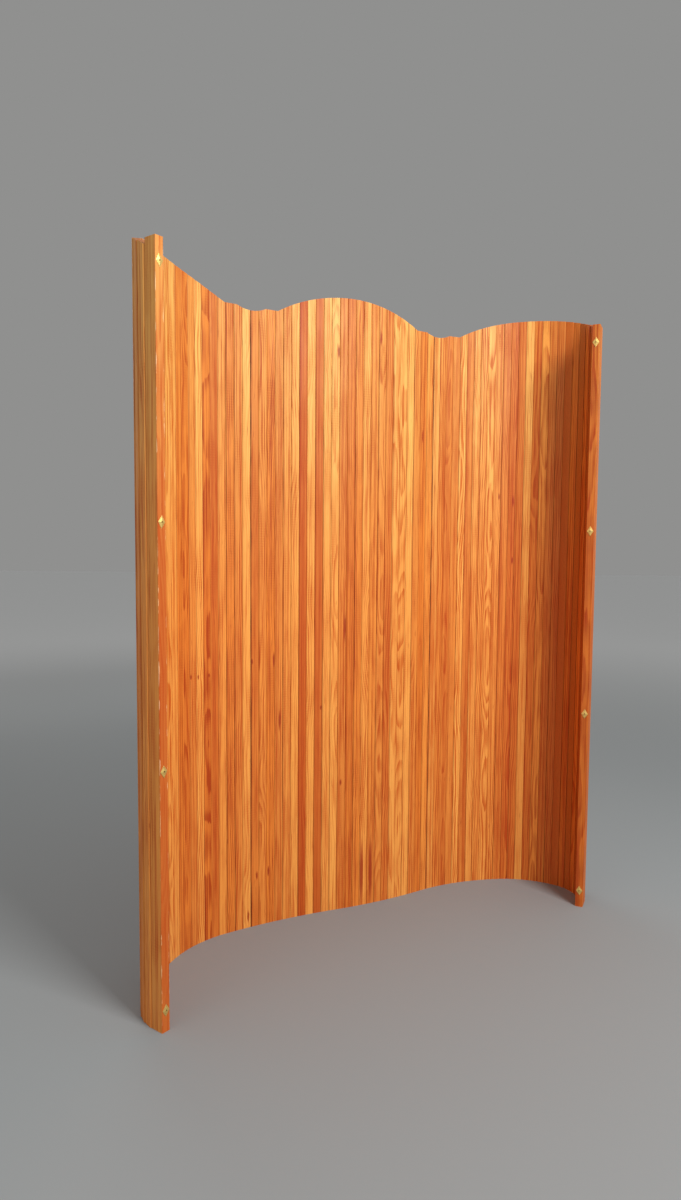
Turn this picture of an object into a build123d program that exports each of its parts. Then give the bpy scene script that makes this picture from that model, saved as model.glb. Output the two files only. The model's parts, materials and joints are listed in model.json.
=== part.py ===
from build123d import *
import math
import os

# A slatted screen. Narrow pine slats stand side by side in one curtain, and steel cables through
# their middles string them between two end posts. Each slat has a rounded nose along one edge and
# a hollow cove along the other, and each nose turns in its neighbour's cove.
# Sizes are in millimetres and degrees. +Z is up, the floor is at Z = 0 and +X is to the right,
# seen from the front. The origin is under the middle of the box around the standing curtain.

# Slats
slat_pitch = 25.0  # from hinge to hinge
slat_thick = 22.0
nose_shoulder = 7.8  # where the flat faces end, behind the hinge
joint_gap = 0.3  # between a nose and its cove
slat_edge_round = 0.8
slats_per_node = 2

# End posts
post_width = 45.0  # from the end face to the hinge
post_height = 1750.0
post_edge_round = 1.2

# Top edge of the curtain, laid flat: three arches, and between them two valleys, each a notch
# between two lands that are level with the tops of the posts
crest_rise = 61.0  # from the lands up
notch_depth = 10.0  # from the lands down
post_side_drop = 14.0  # from the posts' tops down to where the arches meet the posts
valley_spacing = 612.0
notch_half_width = 43.0
land_length = 38.0

# The curve that the curtain stands in, as hinge counts with the turn of each hinge, from the left
# post to the right one. A turn to the left is positive.
curve = [(3, -12.5), (8, -3.25), (10, -4.5), (14, -0.9), (12, 1.1), (12, -2.4), (8, -5.3), (6, -12.9)]
left_post_heading = 141.7

# Cables
cable_count = 4
cable_diameter = 2.5
cable_inset = 51.0  # from the bottom and the top of the posts to the nearest cable
cable_end_depth = 4.0
bore_diameter = 7.0
bore_mouth_diameter = 12.0  # where the bore opens through the nose, for the cable to bend
bore_mouth_lead = 1.0  # the mouth is that wide this far ahead of the nose's tip

# Cable fixings, hidden in a pocket in each post's end face
pocket_diameter = 13.5
pocket_depth = 16.0
washer_diameter = 12.0
washer_thick = 1.2
washer_clearance = 0.1
ferrule_diameter = 6.0
ferrule_length = 10.0
ferrule_clearance = 0.05

# Diamond plates over the pockets
plate_width = 19.0
plate_height = 29.0
plate_edge = 0.8
plate_rise = 1.4
plate_flat_width = 5.13  # the flat round the hole
plate_hole_diameter = 3.5
left_plate_tilts = [-2.0, 1.5, -3.0, 5.0]
right_plate_tilts = [3.0, -1.5, 0.5, -2.5]

# Nails, one above and one below each plate's hole
nail_offset = 10.5
nail_head_diameter = 3.0
nail_head_height = 0.9
nail_head_round = 0.4
nail_diameter = 1.6
nail_length = 14.0
nail_clearance = 0.05

# Worked out from the sizes above
half_thick = slat_thick / 2
nose_radius = math.hypot(half_thick, nose_shoulder)
cove_radius = nose_radius + joint_gap
cove_tip = math.sqrt(cove_radius**2 - half_thick**2)
mouth_distance = nose_radius + bore_mouth_lead  # from the hinge
bore_mouth_angle = 2 * math.degrees(math.atan((bore_mouth_diameter - bore_diameter) / 2 / mouth_distance))

hinge_turns = [turn for count, turn in curve for _ in range(count)]
slat_count = len(hinge_turns) - 1
lengths = [post_width] + [slat_pitch] * slat_count + [post_width]
starts = [sum(lengths[:k]) for k in range(len(lengths))]
middle = sum(lengths) / 2

land_height = post_height
crest_height = land_height + crest_rise
valley_height = land_height - notch_depth
post_side_height = post_height - post_side_drop
curtain_start = post_width - nose_radius
curtain_end = 2 * middle - curtain_start
left_valley = middle - valley_spacing / 2
right_valley = middle + valley_spacing / 2
land_end = notch_half_width + land_length  # from the middle of the valley
left_crest = (curtain_start + left_valley - land_end) / 2
right_crest = (curtain_end + right_valley + land_end) / 2

cable_spacing = (post_height - 2 * cable_inset) / (cable_count - 1)
cable_heights = [cable_inset + cable_spacing * i for i in range(cable_count)]


def stand(start):
    """Return a plane for each post and slat, at its hinge on the floor, with X along the curtain."""
    planes = []
    point = start
    heading = left_post_heading
    for length, turn in zip(lengths, hinge_turns + [0]):
        along = Vector(1, 0).rotate(Axis.Z, heading)
        planes.append(Plane(origin=point, x_dir=along, z_dir=(0, 0, 1)))
        point += along * length
        heading += turn
    return planes


# The curtain is first laid out from the origin, and then moved to centre its box there.
flats = [(0, post_width - cove_tip)]
flats += [(-nose_shoulder, slat_pitch - cove_tip)] * slat_count
flats += [(-nose_shoulder, post_width)]
corners = [
    plane.from_local_coords((u, v))
    for plane, flat in zip(stand(Vector(0, 0)), flats)
    for u in flat
    for v in (-half_thick, half_thick)
]
centre_x = (min(corner.X for corner in corners) + max(corner.X for corner in corners)) / 2
centre_y = (min(corner.Y for corner in corners) + max(corner.Y for corner in corners)) / 2
planes = stand(Vector(-centre_x, -centre_y))
left_plane, right_plane = planes[0], planes[-1]
slat_planes = planes[1:-1]
slat_starts = starts[1:-1]


def mouth_planes(plane):
    """Return a plane for each cable at the mouth of its bore, ahead of the nose and facing out."""
    mouth = plane.origin - plane.x_dir * mouth_distance
    return [Plane(origin=mouth + Vector(0, 0, height), z_dir=-plane.x_dir) for height in cable_heights]


def make_slat(start):
    """Return one slat, standing at its hinge on the Z axis and running along X.

    Its top is cut to the curtain's outline, laid flat, in which the hinge is at start.
    """
    with BuildPart() as slat:
        with BuildSketch(Plane.XY):
            with BuildLine():
                nose = ThreePointArc(
                    (-nose_shoulder, -half_thick), (-nose_radius, 0), (-nose_shoulder, half_thick)
                )
                cove = ThreePointArc(
                    (slat_pitch - cove_tip, half_thick),
                    (slat_pitch - cove_radius, 0),
                    (slat_pitch - cove_tip, -half_thick),
                )
                Line(nose @ 1, cove @ 0)
                Line(cove @ 1, nose @ 0)
            make_face()
            fillet(vertices(), radius=slat_edge_round)
        extrude(amount=crest_height)
        with BuildSketch(Plane.XZ.move(Location((-start, 0, 0)))):
            with BuildLine():
                left_arch = ThreePointArc(
                    (curtain_start, post_side_height),
                    (left_crest, crest_height),
                    (left_valley - land_end, land_height),
                )
                left_notch = ThreePointArc(
                    (left_valley - notch_half_width, land_height),
                    (left_valley, valley_height),
                    (left_valley + notch_half_width, land_height),
                )
                middle_arch = ThreePointArc(
                    (left_valley + land_end, land_height),
                    (middle, crest_height),
                    (right_valley - land_end, land_height),
                )
                right_notch = ThreePointArc(
                    (right_valley - notch_half_width, land_height),
                    (right_valley, valley_height),
                    (right_valley + notch_half_width, land_height),
                )
                right_arch = ThreePointArc(
                    (right_valley + land_end, land_height),
                    (right_crest, crest_height),
                    (curtain_end, post_side_height),
                )
                Line(left_arch @ 1, left_notch @ 0)
                Line(left_notch @ 1, middle_arch @ 0)
                Line(middle_arch @ 1, right_notch @ 0)
                Line(right_notch @ 1, right_arch @ 0)
                Polyline(right_arch @ 1, (curtain_end, 0), (curtain_start, 0), left_arch @ 0)
            make_face()
        extrude(amount=slat_thick, both=True, mode=Mode.INTERSECT)
        with Locations(*mouth_planes(Plane.XY)):
            CounterSinkHole(
                radius=bore_diameter / 2,
                counter_sink_radius=bore_mouth_diameter / 2,
                depth=slat_pitch + mouth_distance,
                counter_sink_angle=bore_mouth_angle,
            )
    return slat.part


os.makedirs("parts", exist_ok=True)

# The slats, in nodes of two separate solids each
for first in range(0, slat_count, slats_per_node):
    last = min(first + slats_per_node, slat_count)
    slats = [slat_planes[k].location * make_slat(slat_starts[k]) for k in range(first, last)]
    slat_pair = Compound(label=f"slat_pair_{first // slats_per_node + 1:02d}", children=slats)
    export_step(slat_pair, f"parts/{slat_pair.label}.step")


def end_planes(face_point, outward, tilts):
    """Return a plane for each cable on a post's end face, facing out and turned by its tilt."""
    level = Plane(origin=face_point, x_dir=Vector(0, 0, 1).cross(outward), z_dir=outward)
    return [
        Plane(
            origin=level.origin + Vector(0, 0, height),
            x_dir=level.x_dir.rotate(Axis((0, 0, 0), outward), tilt),
            z_dir=outward,
        )
        for height, tilt in zip(cable_heights, tilts)
    ]


def nail_planes(plates):
    """Return a plane for each nail, on the end face under the plates."""
    return [
        Plane(origin=plate.origin + plate.y_dir * nail_offset * side, z_dir=plate.z_dir)
        for plate in plates
        for side in (-1, 1)
    ]


def diamond(plane, width=plate_width):
    """Return an outline of a plate's shape on a plane, at a width."""
    height = width * plate_height / plate_width
    with BuildSketch(plane) as outline:
        with BuildLine():
            Polyline((width / 2, 0), (0, height / 2), (-width / 2, 0), (0, -height / 2), close=True)
        make_face()
    return outline.sketch


left_end = end_planes(left_plane.origin, -left_plane.x_dir, left_plate_tilts)
right_end = end_planes(
    right_plane.origin + right_plane.x_dir * post_width, right_plane.x_dir, right_plate_tilts
)

# Left post: a flat end face, and a cove for the first slat's nose
with BuildPart() as left_post:
    with BuildSketch(left_plane):
        with BuildLine():
            cove = ThreePointArc(
                (post_width - cove_tip, half_thick),
                (post_width - cove_radius, 0),
                (post_width - cove_tip, -half_thick),
            )
            Polyline(cove @ 1, (0, -half_thick), (0, half_thick), cove @ 0)
        make_face()
        fillet(vertices().sort_by(Axis(left_plane.origin, left_plane.x_dir))[:2], radius=post_edge_round)
        fillet(vertices().sort_by(Axis(left_plane.origin, left_plane.x_dir))[-2:], radius=slat_edge_round)
    extrude(amount=post_height)
    with Locations(*left_end):
        CounterBoreHole(
            radius=bore_diameter / 2,
            counter_bore_radius=pocket_diameter / 2,
            counter_bore_depth=pocket_depth,
            depth=post_width,
        )
    with Locations(*nail_planes(left_end)):
        Hole(radius=nail_diameter / 2 + nail_clearance, depth=nail_length)
left_post.part.label = "left_post"
export_step(left_post.part, "parts/left_post.step")

# Right post: a nose in the last slat's cove, and a flat end face
with BuildPart() as right_post:
    with BuildSketch(right_plane):
        with BuildLine():
            nose = ThreePointArc(
                (-nose_shoulder, -half_thick), (-nose_radius, 0), (-nose_shoulder, half_thick)
            )
            Polyline(nose @ 1, (post_width, half_thick), (post_width, -half_thick), nose @ 0)
        make_face()
        fillet(vertices().sort_by(Axis(right_plane.origin, right_plane.x_dir))[:2], radius=slat_edge_round)
        fillet(vertices().sort_by(Axis(right_plane.origin, right_plane.x_dir))[-2:], radius=post_edge_round)
    extrude(amount=post_height)
    with Locations(*right_end):
        CounterBoreHole(
            radius=bore_diameter / 2,
            counter_bore_radius=pocket_diameter / 2,
            counter_bore_depth=pocket_depth,
            depth=post_width,
        )
    with Locations(*mouth_planes(right_plane)):
        CounterSinkHole(
            radius=bore_diameter / 2,
            counter_sink_radius=bore_mouth_diameter / 2,
            depth=mouth_distance + post_width / 2,
            counter_sink_angle=bore_mouth_angle,
        )
    with Locations(*nail_planes(right_end)):
        Hole(radius=nail_diameter / 2 + nail_clearance, depth=nail_length)
right_post.part.label = "right_post"
export_step(right_post.part, "parts/right_post.step")

# Cables: straight in the posts, and from slat to slat one arc that meets both middles squarely
half_pitch = slat_pitch / 2
for number, height in enumerate(cable_heights, start=1):
    start_point = left_plane.origin + left_plane.x_dir * cable_end_depth + Vector(0, 0, height)
    with BuildPart() as cable:
        with BuildLine() as route:
            run = PolarLine(
                start_point, post_width - half_pitch - cable_end_depth, direction=left_plane.x_dir
            )
            for turn in hinge_turns:
                bend_radius = half_pitch / math.tan(math.radians(abs(turn) / 2))
                run = JernArc(run @ 1, run % 1, bend_radius, turn)
            PolarLine(run @ 1, post_width - half_pitch - cable_end_depth, direction=run % 1)
        with BuildSketch(Plane(origin=start_point, z_dir=left_plane.x_dir)):
            Circle(cable_diameter / 2)
        sweep()
    cable.part.label = f"cable_{number}"
    export_step(cable.part, f"parts/cable_{number}.step")

# What holds the cables in each post, and the plates and nails that cover it
for side, end in (("left", left_end), ("right", right_end)):
    with BuildPart() as washers:
        with BuildSketch(*[plane.offset(-pocket_depth) for plane in end]):
            Circle(washer_diameter / 2)
            Circle(cable_diameter / 2 + washer_clearance, mode=Mode.SUBTRACT)
        extrude(amount=washer_thick)
    washers.part.label = f"{side}_washers"
    export_step(washers.part, f"parts/{side}_washers.step")

    with BuildPart() as ferrules:
        with BuildSketch(*[plane.offset(washer_thick - pocket_depth) for plane in end]):
            Circle(ferrule_diameter / 2)
            Circle(cable_diameter / 2 + ferrule_clearance, mode=Mode.SUBTRACT)
        extrude(amount=ferrule_length)
    ferrules.part.label = f"{side}_ferrules"
    export_step(ferrules.part, f"parts/{side}_ferrules.step")

    with BuildPart() as plates:
        for plane in end:
            rim = plane.offset(plate_edge)
            extrude(diamond(plane), amount=plate_edge)
            loft([diamond(rim), diamond(rim.offset(plate_rise), plate_flat_width)], ruled=True)
        with Locations(*[plane.offset(plate_edge + plate_rise) for plane in end]):
            Hole(radius=plate_hole_diameter / 2, depth=plate_edge + plate_rise)
        with Locations(*[plane.offset(plate_edge + plate_rise) for plane in nail_planes(end)]):
            CounterBoreHole(
                radius=nail_diameter / 2 + nail_clearance,
                counter_bore_radius=nail_head_diameter / 2 + nail_clearance,
                counter_bore_depth=plate_rise,
                depth=plate_edge + plate_rise,
            )
    plates.part.label = f"{side}_plates"
    export_step(plates.part, f"parts/{side}_plates.step")

    nail_seats = [plane.offset(plate_edge) for plane in nail_planes(end)]
    with BuildPart() as nails:
        with BuildSketch(*nail_seats):
            Circle(nail_head_diameter / 2)
        extrude(amount=nail_head_height)
        head_rims = edges().sort_by(Axis(end[0].origin, end[0].z_dir))[-len(nail_seats):]
        fillet(head_rims, radius=nail_head_round)
        with BuildSketch(*nail_seats):
            Circle(nail_diameter / 2)
        extrude(amount=-nail_length)
    nails.part.label = f"{side}_nails"
    export_step(nails.part, f"parts/{side}_nails.step")
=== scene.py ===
"""The looks of the slatted screen: varnished pine slats, brass plates and the cables through them."""

import json
import math
import random

import bpy
import numpy as np
from mathutils import Euler, Matrix, Vector


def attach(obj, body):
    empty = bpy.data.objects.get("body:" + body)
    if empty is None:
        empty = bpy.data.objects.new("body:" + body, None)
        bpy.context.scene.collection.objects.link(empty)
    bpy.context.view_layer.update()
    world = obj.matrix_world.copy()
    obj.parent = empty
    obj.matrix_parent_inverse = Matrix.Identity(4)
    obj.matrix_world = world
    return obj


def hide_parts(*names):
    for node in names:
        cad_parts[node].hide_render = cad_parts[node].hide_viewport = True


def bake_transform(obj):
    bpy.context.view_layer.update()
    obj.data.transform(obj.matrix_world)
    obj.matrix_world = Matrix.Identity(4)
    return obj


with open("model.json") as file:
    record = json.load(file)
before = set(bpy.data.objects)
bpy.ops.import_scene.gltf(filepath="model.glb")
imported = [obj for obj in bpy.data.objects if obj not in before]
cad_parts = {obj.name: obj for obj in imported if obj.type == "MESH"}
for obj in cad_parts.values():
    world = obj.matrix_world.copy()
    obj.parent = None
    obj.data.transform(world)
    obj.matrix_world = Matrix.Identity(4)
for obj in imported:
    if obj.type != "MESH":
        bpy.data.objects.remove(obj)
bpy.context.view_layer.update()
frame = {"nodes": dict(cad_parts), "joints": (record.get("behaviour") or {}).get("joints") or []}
nodes = frame["nodes"]
scene = bpy.context.scene

# Sizes in metres, angles in degrees, and the same as the CAD model's
SLAT_PITCH = 0.025
SLAT_THICK = 0.022
NOSE_SHOULDER = 0.0078
JOINT_GAP = 0.0003
POST_WIDTH = 0.045
POST_HEIGHT = 1.75
CURVE = [(3, -12.5), (8, -3.25), (10, -4.5), (14, -0.9), (12, 1.1), (12, -2.4), (8, -5.3), (6, -12.9)]
LEFT_HEADING = 141.7
CABLE_COUNT = 4
CABLE_RADIUS = 0.00125
CABLE_INSET = 0.051
CABLE_END = 0.004

# Worked out from the sizes above
NOSE_RADIUS = math.hypot(SLAT_THICK / 2, NOSE_SHOULDER)
COVE_RADIUS = NOSE_RADIUS + JOINT_GAP
COVE_TIP = math.sqrt(COVE_RADIUS**2 - (SLAT_THICK / 2) ** 2)
FACE_START = -NOSE_SHOULDER
FACE_END = SLAT_PITCH - COVE_TIP
TURNS = [turn for count, turn in CURVE for _ in range(count)]
SLAT_COUNT = len(TURNS) - 1
CABLE_HEIGHTS = np.linspace(CABLE_INSET, POST_HEIGHT - CABLE_INSET, CABLE_COUNT)

# A place that no point of the part is near
NOWHERE = -9.0


def ahead(heading):
    """Return the plan direction of a heading."""
    return np.array([math.cos(heading), math.sin(heading)])


def leftward(heading):
    """Return the plan direction to the left of a heading."""
    return np.array([-math.sin(heading), math.cos(heading)])


def stand_curtain():
    """Return each post's and slat's hinge point and heading in radians, from left to right."""
    first_hinge = next(joint for joint in frame["joints"] if joint["name"] == "hinge_01")["pos_m"]
    heading = math.radians(LEFT_HEADING)
    point = np.array(first_hinge[:2]) - POST_WIDTH * ahead(heading)
    places = []
    for length, turn in zip([POST_WIDTH] + [SLAT_PITCH] * SLAT_COUNT + [POST_WIDTH], TURNS + [0]):
        places.append((point, heading))
        point = point + length * ahead(heading)
        heading += math.radians(turn)
    return places


PLACES = stand_curtain()


def to_slat(points, k):
    """Turn points of the shared frame into piece k's own: along the curtain, across it, and up."""
    point, heading = PLACES[k]
    cosine, sine = ahead(heading)
    x, y = points[:, 0] - point[0], points[:, 1] - point[1]
    return np.stack([x * cosine + y * sine, y * cosine - x * sine, points[:, 2]], axis=1)


def add_object(name, data):
    """Add an object to the scene."""
    made = bpy.data.objects.new(name, data)
    scene.collection.objects.link(made)
    return made


# Shader helpers


def add(tree, kind, values=None, **settings):
    """Add a node, with its settings and with its inputs' values or links."""
    made = tree.nodes.new(kind)
    for name, value in settings.items():
        setattr(made, name, value)
    for name, value in (values or {}).items():
        if isinstance(value, bpy.types.NodeSocket):
            tree.links.new(value, made.inputs[name])
        else:
            made.inputs[name].default_value = value
    return made


def calc(tree, operation, a, b=0.0, c=0.0, clamp=False):
    """Return the result of one math node."""
    return add(tree, "ShaderNodeMath", {0: a, 1: b, 2: c}, operation=operation, use_clamp=clamp).outputs[0]


def plus(tree, a, b, clamp=False):
    """Return the sum of two values."""
    return calc(tree, "ADD", a, b, clamp=clamp)


def minus(tree, a, b):
    """Return the difference of two values."""
    return calc(tree, "SUBTRACT", a, b)


def times(tree, a, b):
    """Return the product of two values."""
    return calc(tree, "MULTIPLY", a, b)


def length_of(tree, a, b):
    """Return the length of the vector with two parts."""
    return calc(tree, "SQRT", plus(tree, times(tree, a, a), times(tree, b, b)))


def remap(tree, value, low, high, to_low=0.0, to_high=1.0, smooth=True):
    """Return value moved from one range to another, clamped."""
    kind = "SMOOTHSTEP" if smooth else "LINEAR"
    ranges = {"Value": value, "From Min": low, "From Max": high, "To Min": to_low, "To Max": to_high}
    return add(tree, "ShaderNodeMapRange", ranges, interpolation_type=kind).outputs[0]


def stretched(tree, vector, x, y, z):
    """Return the vector with each part multiplied."""
    return add(tree, "ShaderNodeVectorMath", {0: vector, 1: (x, y, z)}, operation="MULTIPLY").outputs[0]


def parts_of(tree, vector):
    """Return the three parts of a vector."""
    return add(tree, "ShaderNodeSeparateXYZ", {0: vector}).outputs


def own_vector(tree, name):
    """Return the vector that each point of a piece carries under a name."""
    return add(tree, "ShaderNodeAttribute", attribute_name=name).outputs["Vector"]


def noise(tree, vector, scale, detail=2.0, roughness=0.5):
    """Return a noise value from 0 to 1."""
    values = {"Vector": vector, "Scale": scale, "Detail": detail, "Roughness": roughness}
    return add(tree, "ShaderNodeTexNoise", values).outputs[0]


def wood_noise(tree, own, across, up, detail=2.0, roughness=0.5):
    """Return a noise value, with how often a metre it changes across the slat and up the slat."""
    return noise(tree, stretched(tree, own, across, across, up), 1.0, detail, roughness)


def blend_colour(tree, factor, a, b):
    """Return two colours mixed."""
    made = add(tree, "ShaderNodeMix", data_type="RGBA")
    for name, value in ((0, factor), (6, a), (7, b)):
        if isinstance(value, bpy.types.NodeSocket):
            tree.links.new(value, made.inputs[name])
        elif name == 0:
            made.inputs[name].default_value = value
        else:
            made.inputs[name].default_value = (*value, 1.0)
    return made.outputs[2]


def srgb(red, green, blue):
    """Return a linear colour from one as it looks, from 0 to 255."""
    return tuple(
        value / 12.92 if value <= 0.04045 else ((value + 0.055) / 1.055) ** 2.4
        for value in (red / 255, green / 255, blue / 255)
    )


def new_material(name):
    """Return a new material, its node tree and its shader."""
    material = bpy.data.materials.new(name)
    material.use_nodes = True
    return material, material.node_tree, material.node_tree.nodes["Principled BSDF"]


# Wood

PALE_LOW, PALE_HIGH = srgb(228, 126, 40), srgb(240, 164, 78)
DEEP_LOW, DEEP_HIGH = srgb(158, 54, 8), srgb(198, 92, 24)
HEART_RED = srgb(174, 60, 10)
POST_END = srgb(176, 66, 12)
FLECK = srgb(150, 52, 14)
KNOT = srgb(150, 44, 14)
# The dark of the joints: dirt, and painted shade along the open ones
JOINT_DIRT_AND_SHADE = srgb(84, 26, 8)
BARE_WOOD = srgb(246, 214, 172)
END_GRAIN = srgb(120, 62, 30)
# Painted light: each of a colour's parts is scaled by these at the top, making it yellower and paler as if
# lit more strongly there, and the height where that starts
TOP_LIGHT_TINT = (0.95, 1.28, 1.6)
TOP_LIGHT_START = 0.8
RINGS_A_METRE = 260.0
CHATTER_TURN = 900.0
# How far the darkening of a joint, dirt and the painted shade of an open gap, reaches over each slat's face,
# and where it is darkest
NOSE_DARKENING_WIDTH = 0.0032
COVE_DARKENING_WIDTH = 0.0023
DARKEST_EDGE = 0.0004
# Heights of the relief
CROWN = 0.00028
FIBRE_RELIEF = 0.00006
LATE_WOOD_RELIEF = 0.00008
CHIP_DEPTH = 0.0004


def late_wood(tree, own, u, v):
    """Return how dark the growth rings are, round a pith that wanders slowly with height."""
    pith_u, pith_v, _ = parts_of(tree, own_vector(tree, "pith"))
    wander_u = calc(tree, "MULTIPLY_ADD", wood_noise(tree, own, 4, 1.4), 0.05, -0.025)
    wander_v = calc(tree, "MULTIPLY_ADD", wood_noise(tree, own, 9, 3.0, 1.0), 0.03, -0.015)
    ring_u = plus(tree, minus(tree, u, pith_u), wander_u)
    ring_v = plus(tree, minus(tree, v, pith_v), wander_v)
    uneven = times(tree, wood_noise(tree, own, 120, 6, 3.0, 0.6), 0.8)
    rings = plus(tree, times(tree, length_of(tree, ring_u, ring_v), RINGS_A_METRE), uneven)
    part = calc(tree, "FRACT", rings)
    return times(tree, remap(tree, part, 0.2, 0.84), remap(tree, part, 1.0, 0.88))


def grain_colour(tree, own, z, late, fibre, blotch):
    """Return the colour of clean wood, with bands, streaks and flecks drawn out along the slat, and painted
    light on its upper part.
    """
    light, red, contrast = parts_of(tree, own_vector(tree, "tone"))
    band = wood_noise(tree, own, 190, 1.2, 2.0, 0.55)
    streak = wood_noise(tree, own, 460, 4.0, 3.0, 0.65)
    fleck = wood_noise(tree, own, 330, 22)
    wave = calc(tree, "SINE", times(tree, z, CHATTER_TURN))
    chatter = times(tree, wave, remap(tree, blotch, 0.5, 0.7, 0.0, 0.06))

    dark = times(tree, late, times(tree, contrast, remap(tree, band, 0.3, 0.7, 0.35, 1.0)))
    dark = plus(tree, dark, times(tree, contrast, remap(tree, band, 0.42, 0.66, 0.0, 0.34)))
    dark = plus(tree, dark, remap(tree, streak, 0.48, 0.7, 0.0, 0.62))
    dark = plus(tree, dark, remap(tree, blotch, 0.35, 0.7, -0.12, 0.22))
    dark = plus(tree, dark, chatter, clamp=True)
    pale = blend_colour(tree, light, PALE_LOW, PALE_HIGH)
    deep = blend_colour(tree, light, DEEP_LOW, DEEP_HIGH)
    colour = blend_colour(tree, dark, pale, deep)
    redness = times(tree, red, remap(tree, band, 0.25, 0.75, 0.65, 1.0))
    colour = blend_colour(tree, redness, colour, HEART_RED)
    colour = blend_colour(tree, remap(tree, fleck, 0.66, 0.78, 0.0, 0.55), colour, FLECK)
    colour = blend_colour(tree, remap(tree, fibre, 0.55, 0.85, 0.0, 0.2), colour, FLECK)

    # Painted light: the upper part is made yellower and paler, as the stronger light from above makes it look
    top_light = remap(tree, z, TOP_LIGHT_START, POST_HEIGHT)
    top_light = times(tree, top_light, calc(tree, "MULTIPLY_ADD", light, 0.5, 0.5))
    return blend_colour(tree, top_light, colour, stretched(tree, colour, *TOP_LIGHT_TINT))


def mark_shade(tree, u, z, name):
    """Return how dark a slat's own mark, such as a knot or a pitch streak, makes each point."""
    mark_u, mark_z, mark_size = parts_of(tree, own_vector(tree, name))
    wide = calc(tree, "MULTIPLY_ADD", mark_size, 0.034, 0.0034)
    across = calc(tree, "DIVIDE", minus(tree, u, mark_u), wide)
    along = calc(tree, "DIVIDE", minus(tree, z, mark_z), mark_size)
    return remap(tree, length_of(tree, across, along), 1.2, 0.3)


def add_marks(tree, colour, own, u, z):
    """Return the colour with the slat's knots and pitch streaks."""
    wobble = calc(tree, "MULTIPLY_ADD", wood_noise(tree, own, 260, 60), 0.004, -0.002)
    near = plus(tree, u, wobble)
    marks = calc(
        tree, "MAXIMUM", mark_shade(tree, near, z, "mark_one"), mark_shade(tree, near, z, "mark_two")
    )
    return blend_colour(tree, times(tree, marks, 0.88), colour, KNOT)


def add_joint_dirt_and_shade(tree, colour, own, u, nose_dirt_and_shade, cove_dirt_and_shade):
    """Return the colour with the dirt and dark varnish that gather in the joints, and painted shade along the
    joints that stand open.
    """
    uneven = remap(tree, wood_noise(tree, own, 5, 9), 0.3, 0.65, 0.45, 1.0)
    nose_line = remap(tree, u, FACE_START + NOSE_DARKENING_WIDTH, FACE_START + DARKEST_EDGE)
    cove_line = remap(tree, u, FACE_END - COVE_DARKENING_WIDTH, FACE_END - DARKEST_EDGE)
    line = calc(tree, "MAXIMUM", times(tree, nose_line, nose_dirt_and_shade), times(tree, cove_line, cove_dirt_and_shade))
    return blend_colour(tree, times(tree, line, uneven), colour, JOINT_DIRT_AND_SHADE)


def corner_chips(tree, own, u, v, end_u):
    """Return where the corners of the left post's end face are chipped."""
    over = minus(tree, calc(tree, "ABSOLUTE", v), SLAT_THICK / 2)
    corner = length_of(tree, minus(tree, u, end_u), over)
    worn = wood_noise(tree, own, 150, 22, 3.0, 0.6)
    reach = remap(tree, worn, 0.48, 0.72, 0.0003, 0.0027, smooth=False)
    return remap(tree, minus(tree, reach, corner), 0.0, 0.0006)


def wood_relief(tree, u, fibre, late, chipped):
    """Return the height of a slat's surface: its face is a little crowned, with the grain proud."""
    middle, half_width = (FACE_START + FACE_END) / 2, (FACE_END - FACE_START) / 2
    out = calc(tree, "DIVIDE", minus(tree, u, middle), half_width)
    relief = times(tree, times(tree, out, out), -CROWN)
    relief = plus(tree, relief, times(tree, fibre, FIBRE_RELIEF))
    relief = plus(tree, relief, times(tree, late, LATE_WOOD_RELIEF))
    return minus(tree, relief, times(tree, chipped, CHIP_DEPTH))


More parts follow.
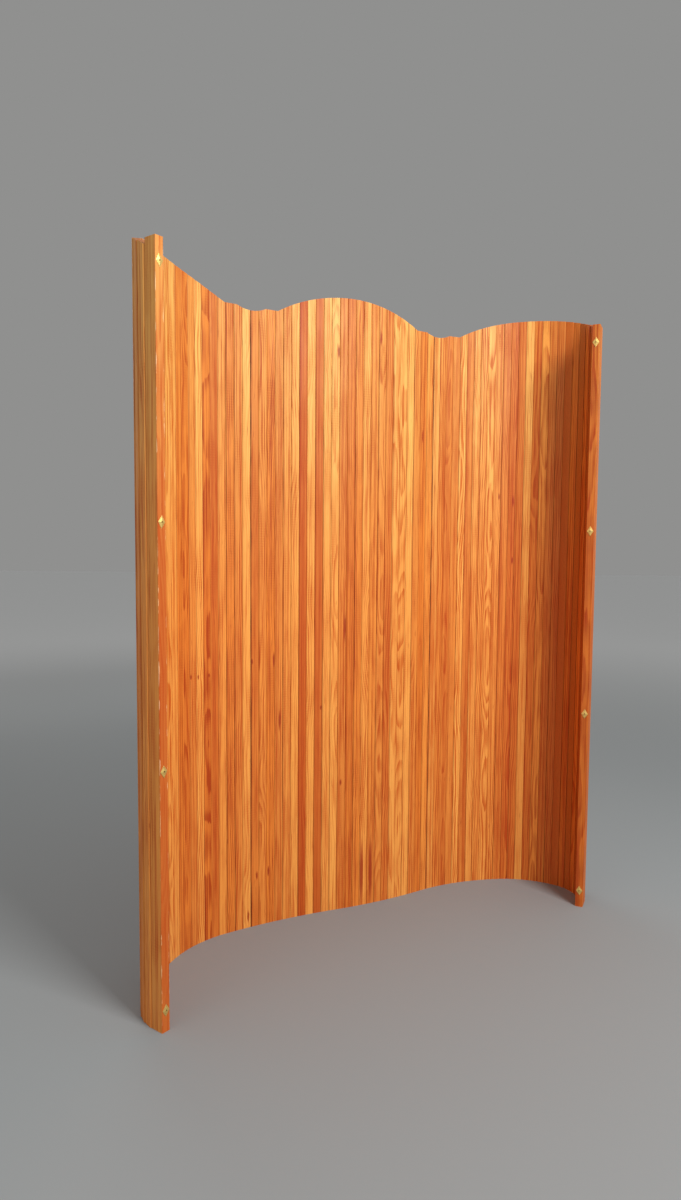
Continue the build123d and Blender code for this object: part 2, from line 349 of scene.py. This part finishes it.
def make_pine():
    """Return the varnished pine of the slats and posts."""
    material, tree, shader = new_material("pine")
    place = own_vector(tree, "place")
    u, v, z = parts_of(tree, place)
    seed = parts_of(tree, own_vector(tree, "pith"))[2]
    shift = add(tree, "ShaderNodeCombineXYZ", {0: seed, 1: times(tree, seed, 1.7), 2: seed}).outputs[0]
    own = add(tree, "ShaderNodeVectorMath", {0: place, 1: shift}, operation="ADD").outputs[0]
    nose_dirt_and_shade, cove_dirt_and_shade, end_u = parts_of(tree, own_vector(tree, "edge"))

    late = late_wood(tree, own, u, v)
    fibre = wood_noise(tree, own, 1500, 24, 2.0, 0.6)
    blotch = wood_noise(tree, own, 40, 7, 3.0)
    colour = grain_colour(tree, own, z, late, fibre, blotch)
    colour = add_marks(tree, colour, own, u, z)
    colour = add_joint_dirt_and_shade(tree, colour, own, u, nose_dirt_and_shade, cove_dirt_and_shade)

    # Chips show bare wood
    chipped = corner_chips(tree, own, u, v, end_u)
    colour = blend_colour(tree, times(tree, chipped, 0.45), colour, BARE_WOOD)

    # The left post's end face, next to its plates, is coloured darker than its sides, and more so towards the
    # bottom
    end_face = remap(tree, calc(tree, "ABSOLUTE", minus(tree, u, end_u)), 0.0013, 0.0009)
    end_face = times(tree, end_face, minus(tree, 1.0, chipped))
    end_face = times(tree, end_face, remap(tree, z, 0.9, POST_HEIGHT, 0.7, 0.3))
    colour = blend_colour(tree, end_face, colour, POST_END)

    # End grain is darker and dull
    normal = add(tree, "ShaderNodeNewGeometry").outputs["Normal"]
    up = calc(tree, "ABSOLUTE", parts_of(tree, normal)[2])
    end_grain = remap(tree, up, 0.45, 0.75)
    colour = blend_colour(tree, times(tree, end_grain, 0.75), colour, END_GRAIN)
    tree.links.new(colour, shader.inputs["Base Color"])

    varnish = remap(tree, blotch, 0.2, 0.8, 0.48, 0.62)
    rough = calc(tree, "MAXIMUM", varnish, times(tree, end_grain, 0.85))
    rough = calc(tree, "MAXIMUM", rough, times(tree, chipped, 0.8))
    tree.links.new(rough, shader.inputs["Roughness"])
    shader.inputs["Specular IOR Level"].default_value = 0.2
    shader.inputs["Coat Weight"].default_value = 0.04
    shader.inputs["Coat Roughness"].default_value = 0.3

    relief = wood_relief(tree, u, fibre, late, chipped)
    bump = add(tree, "ShaderNodeBump", {"Strength": 1.0, "Distance": 1.0, "Height": relief})
    tree.links.new(bump.outputs[0], shader.inputs["Normal"])
    return material


def make_metal(name, colour, roughness, grain_scale, metallic=1.0):
    """Return a metal with fine scratches and dull patches."""
    material, tree, shader = new_material(name)
    where = add(tree, "ShaderNodeTexCoord").outputs["Object"]
    patches = noise(tree, where, grain_scale, 4.0, 0.6)
    dull = tuple(part * 0.62 for part in colour)
    patched = blend_colour(tree, remap(tree, patches, 0.45, 0.75), colour, dull)
    tree.links.new(patched, shader.inputs["Base Color"])
    tree.links.new(remap(tree, patches, 0.3, 0.8, roughness, roughness + 0.2), shader.inputs["Roughness"])
    shader.inputs["Metallic"].default_value = metallic
    height = noise(tree, where, grain_scale * 6, 3.0, 0.6)
    bump = add(tree, "ShaderNodeBump", {"Strength": 0.3, "Distance": 0.0002, "Height": height})
    tree.links.new(bump.outputs[0], shader.inputs["Normal"])
    return material


pine = make_pine()
brass = make_metal("brass", srgb(228, 194, 112), 0.45, 260.0, 0.75)
nail_brass = make_metal("nail_brass", srgb(222, 184, 104), 0.42, 500.0, 0.8)
steel = make_metal("cable_steel", srgb(170, 170, 166), 0.42, 600.0)
zinc = make_metal("washer_steel", srgb(185, 186, 184), 0.4, 300.0)
aluminium = make_metal("ferrule_metal", srgb(200, 200, 198), 0.38, 300.0)

# Slats and posts: each keeps the CAD's shape and gets grain of its own. They are numbered from the
# left post, 0, to the right post.

# Pieces with a look of their own, by number: lightness, redness and contrast, from 0 to 1
TONES = {
    0: (0.8, 0.15, 0.5), 1: (0.75, 0.15, 0.5), 2: (0.6, 0.2, 0.5), 14: (0.9, 0.0, 0.8),
    16: (0.2, 0.3, 0.8), 18: (0.95, 0.0, 0.9), 19: (0.15, 0.2, 0.9), 20: (0.3, 0.5, 0.7),
    24: (0.9, 0.0, 0.45), 25: (0.35, 0.35, 0.5), 26: (0.5, 0.1, 0.7), 30: (0.8, 0.0, 0.5),
    31: (0.2, 0.8, 0.8), 32: (0.85, 0.0, 0.5), 33: (0.3, 0.65, 0.5), 35: (0.9, 0.0, 0.55),
    36: (0.5, 0.3, 0.9), 42: (0.4, 0.45, 0.8), 45: (0.9, 0.0, 0.4), 51: (0.4, 0.5, 0.6),
    52: (0.5, 0.25, 0.6), 53: (1.0, 0.0, 1.0), 54: (0.45, 0.3, 1.0), 55: (0.85, 0.05, 0.9),
    56: (0.6, 0.1, 1.0), 57: (0.8, 0.0, 1.0), 58: (0.6, 0.1, 0.9), 59: (0.4, 0.3, 1.0),
    60: (0.3, 0.5, 1.0), 61: (0.3, 0.5, 0.9), 62: (0.85, 0.05, 0.5), 63: (0.25, 0.5, 0.7),
}
# The pieces from this one on are made darker and redder: painted shade on the end that turns away from the
# key light
PAINTED_SHADE_START = 65
# Knots and pitch streaks, by slat: place across and up the slat, and half the length, in metres
MARKS = {
    17: [(-0.004, 0.747, 0.008)], 18: [(-0.002, 0.744, 0.008)], 19: [(0.010, 0.745, 0.007)],
    24: [(0.0075, 0.034, 0.020)], 25: [(0.010, 0.149, 0.014), (-0.004, 0.773, 0.009)],
    27: [(-0.003, 0.155, 0.017), (0.013, 0.772, 0.026)], 28: [(0.007, 0.596, 0.034)],
    33: [(0.012, 0.624, 0.008)], 35: [(0.0125, 1.659, 0.022)],
    36: [(0.002, 0.392, 0.011), (0.012, 0.859, 0.050)],
    39: [(-0.002, 0.100, 0.120)], 40: [(0.004, 0.105, 0.125)], 41: [(-0.003, 1.710, 0.024)],
    47: [(0.001, 1.437, 0.022)], 58: [(0.0105, 1.262, 0.013)],
    60: [(0.008, 1.247, 0.021), (0.0095, 1.058, 0.013)],
}
# The joints that stand open a little and show as dark lines, by the slat on their right; the shade in their
# gaps is painted on as that dark line
OPEN_JOINTS = (25, 49)
FIRST_SEED = 1000


def slat_look(k):
    """Return piece k's vectors for the pine, the same each run."""
    draw = random.Random(FIRST_SEED + k)
    light = draw.uniform(0.15, 1.0)
    red = draw.choice((0.0, 0.0, 0.1, 0.25))
    contrast = draw.uniform(0.55, 1.0)
    angle = draw.uniform(0, 2 * math.pi)
    distance = draw.uniform(0.02, 0.12)
    pith = (distance * math.cos(angle), distance * math.sin(angle), draw.uniform(0, 40))
    # Painted shade: the pieces that turn away from the key light are made darker and redder
    if k >= PAINTED_SHADE_START:
        light, red = 0.45 * light, 0.4 + 0.6 * red
    # Painted shade: a joint that stands open gets the full dark line of its gap; the others get some dirt
    nose_dirt_and_shade = 1.0 if k in OPEN_JOINTS else draw.uniform(0.0, 0.5)
    cove_dirt_and_shade = 1.0 if k + 1 in OPEN_JOINTS else draw.uniform(0.0, 0.25)
    end_u = 0.0 if k == 0 else NOWHERE
    marks = MARKS.get(k, []) + [(0.0, NOWHERE, 1.0)] * 2
    return {
        "tone": TONES.get(k, (light, red, contrast)),
        "pith": pith,
        "edge": (nose_dirt_and_shade, cove_dirt_and_shade, end_u),
        "mark_one": marks[0],
        "mark_two": marks[1],
    }


def dress(node, pieces):
    """Make a copy of a CAD node of wood, with each of its pieces' own grain, that replaces the node."""
    mesh = nodes[node].data.copy()
    mesh.name = f"{node}_wood"
    wood = add_object(f"{node}_wood", mesh)
    count = len(mesh.vertices)
    points = np.empty(count * 3, np.float32)
    mesh.vertices.foreach_get("co", points)
    points = points.reshape(-1, 3).astype(float)

    # A point is the next piece's if it lies on its nose or beyond its nose's shoulder
    owner = np.full(count, pieces[0])
    for k in pieces[1:]:
        local = to_slat(points, k)
        on_nose = np.hypot(local[:, 0], local[:, 1]) < (NOSE_RADIUS + COVE_RADIUS) / 2
        owner[on_nose | (local[:, 0] > FACE_START - 0.0002)] = k

    vectors = {"place": np.zeros((count, 3))}
    for k in pieces:
        mine = owner == k
        vectors["place"][mine] = to_slat(points[mine], k)
        for name, vector in slat_look(k).items():
            vectors.setdefault(name, np.zeros((count, 3)))[mine] = vector
    for name, rows in vectors.items():
        attribute = mesh.attributes.new(name, "FLOAT_VECTOR", "POINT")
        attribute.data.foreach_set("vector", rows.astype(np.float32).ravel())
    mesh.materials.clear()
    mesh.materials.append(pine)
    return wood


def body_of_piece(k):
    """Return the name of the node and body that piece k is in."""
    if k == 0:
        return "left_post"
    if k == SLAT_COUNT + 1:
        return "right_post"
    return f"slat_pair_{(k + 1) // 2:02d}"


groups = {}
for k in range(SLAT_COUNT + 2):
    groups.setdefault(body_of_piece(k), []).append(k)
for node, members in groups.items():
    wood = dress(node, members)
    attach(wood, node)
    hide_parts(node)


# Cables: one piece a joint, from the middle of one pair to the middle of the next, that bends there

CABLE_SIDES = 12
CABLE_STEPS = 8


def cable_mesh(name, path):
    """Return a mesh of tubes along a plan path, one at each of the cables' heights."""
    rings = []
    faces = []
    for height in CABLE_HEIGHTS:
        first = len(rings) * CABLE_SIDES
        for i, (point, heading) in enumerate(path):
            ring = []
            for j in range(CABLE_SIDES):
                angle = 2 * math.pi * j / CABLE_SIDES
                x, y = point + CABLE_RADIUS * math.cos(angle) * leftward(heading)
                ring.append((x, y, height + CABLE_RADIUS * math.sin(angle)))
            rings.append(ring)
            if i:
                low = first + (i - 1) * CABLE_SIDES
                high = low + CABLE_SIDES
                for j in range(CABLE_SIDES):
                    after = (j + 1) % CABLE_SIDES
                    faces.append((low + j, low + after, high + after, high + j))
        last = len(rings) * CABLE_SIDES
        faces.append(tuple(reversed(range(first, first + CABLE_SIDES))))
        faces.append(tuple(range(last - CABLE_SIDES, last)))
    mesh = bpy.data.meshes.new(name)
    mesh.from_pydata([point for ring in rings for point in ring], [], faces)
    mesh.polygons.foreach_set("use_smooth", [len(face) == 4 for face in faces])
    mesh.materials.append(steel)
    return mesh


def hinge_path(k):
    """Return the cable's plan points round the hinge of piece k, from one slat's middle to the next's."""
    point, heading = PLACES[k]
    turn = math.radians(TURNS[k - 1])
    before = heading - turn
    reach = SLAT_PITCH / 2
    radius = reach / math.tan(turn / 2)
    centre = point - reach * ahead(before) + radius * leftward(before)
    angles = [before + turn * step / CABLE_STEPS for step in range(CABLE_STEPS + 1)]
    return [(centre - radius * leftward(angle), angle) for angle in angles]


def along(k, distance):
    """Return the plan point and heading at a distance along piece k from its hinge."""
    point, heading = PLACES[k]
    return point + distance * ahead(heading), heading


# Every second joint bends. Half of the path round each joint inside a pair goes to either side.
half_path = CABLE_STEPS // 2
for number in range(1, SLAT_COUNT // 2 + 2):
    k = 2 * number - 1
    path = hinge_path(k)
    if k == 1:
        path = [along(0, CABLE_END)] + path
    else:
        path = hinge_path(k - 1)[half_path:-1] + path
    if k == SLAT_COUNT + 1:
        path = path + [along(k, POST_WIDTH - CABLE_END)]
    else:
        path = path + hinge_path(k + 1)[1:half_path + 1]
    name = f"cables_{number:02d}"
    cables = add_object(name, cable_mesh(name, path))
    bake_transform(cables)
    if number == 1:
        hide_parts(*[f"cable_{i + 1}" for i in range(CABLE_COUNT)])

for side in ("left", "right"):
    for part, material in (
        ("plates", brass), ("nails", nail_brass), ("washers", zinc), ("ferrules", aluminium)
    ):
        nodes[f"{side}_{part}"].data.materials.clear()
        nodes[f"{side}_{part}"].data.materials.append(material)


# Floor, light and camera

# Painted light: the floor is coloured paler with distance, so that the far floor, which the lamps light less,
# looks as bright as the grey background
FLOOR_NEAR, FLOOR_FAR_PAINTED_LIGHT = srgb(134, 137, 137), srgb(196, 197, 196)
FLOOR_FADE_START, FLOOR_FADE_END = 2.0, 8.0
FLOOR_REACH = 30.0
floor_mesh = bpy.data.meshes.new("floor")
floor_corners = [(x * FLOOR_REACH, y * FLOOR_REACH, 0) for x, y in ((-1, -1), (1, -1), (1, 1), (-1, 1))]
floor_mesh.from_pydata(floor_corners, [], [(0, 1, 2, 3)])
floor = add_object("floor", floor_mesh)
floor_material, floor_tree, floor_shader = new_material("floor_grey")
floor_place = add(floor_tree, "ShaderNodeTexCoord").outputs["Object"]
floor_x, floor_y, _ = parts_of(floor_tree, floor_place)
floor_distance = length_of(floor_tree, floor_x, floor_y)
# Painted light: paler towards the far floor
far_painted_light = remap(floor_tree, floor_distance, FLOOR_FADE_START, FLOOR_FADE_END)
floor_tree.links.new(blend_colour(floor_tree, far_painted_light, FLOOR_NEAR, FLOOR_FAR_PAINTED_LIGHT), floor_shader.inputs["Base Color"])
floor_shader.inputs["Roughness"].default_value = 0.9
floor_mesh.materials.append(floor_material)


def area_light(name, place, target, size, power):
    """Add a square soft light at a place that points at a target."""
    data = bpy.data.lights.new(name, "AREA")
    data.shape = "SQUARE"
    data.size = size
    data.energy = power
    lamp = add_object(name, data)
    lamp.location = place
    lamp.rotation_euler = (Vector(target) - Vector(place)).to_track_quat("-Z", "Y").to_euler()


area_light("key", (2.0, -2.5, 3.2), (0, 0, 1.4), 1.4, 178)
area_light("fill", (-2.6, -3.0, 1.8), (0, 0, 0.9), 2.2, 18)
area_light("back", (-1.5, 3.0, 3.0), (0, 0, 1.0), 2.0, 30)

# The world lights the part evenly, and the camera sees its own grey behind it
WORLD_LIGHT = (0.48, 0.48, 0.48)
BACKGROUND_GREY = srgb(144, 144, 143)
world = bpy.data.worlds.new("studio")
scene.world = world
world.use_nodes = True
world_tree = world.node_tree
background = world_tree.nodes["Background"]
seen = add(world_tree, "ShaderNodeLightPath").outputs["Is Camera Ray"]
world_tree.links.new(blend_colour(world_tree, seen, WORLD_LIGHT, BACKGROUND_GREY), background.inputs["Color"])
background.inputs["Strength"].default_value = 1.0

CAMERA_PLACE = (-0.165, -2.222, 1.103)
CAMERA_PITCH = 4.37
CAMERA_YAW = -0.44
CAMERA_ROLL = 0.44
FOCAL_PIXELS = 820.0
CENTRE_ROW = 607.7
IMAGE_HEIGHT = 1200
SENSOR = 36.0
camera_data = bpy.data.cameras.new("camera")
camera_data.sensor_width = SENSOR
camera_data.lens = FOCAL_PIXELS / IMAGE_HEIGHT * SENSOR
camera_data.shift_y = (CENTRE_ROW - IMAGE_HEIGHT / 2) / IMAGE_HEIGHT
camera = add_object("camera", camera_data)
camera.location = CAMERA_PLACE
turned = Euler((math.radians(90 - CAMERA_PITCH), 0, math.radians(CAMERA_YAW)))
camera.rotation_euler = (turned.to_matrix() @ Matrix.Rotation(math.radians(CAMERA_ROLL), 3, "Z")).to_euler()
scene.camera = camera

scene.view_settings.view_transform = "Standard"
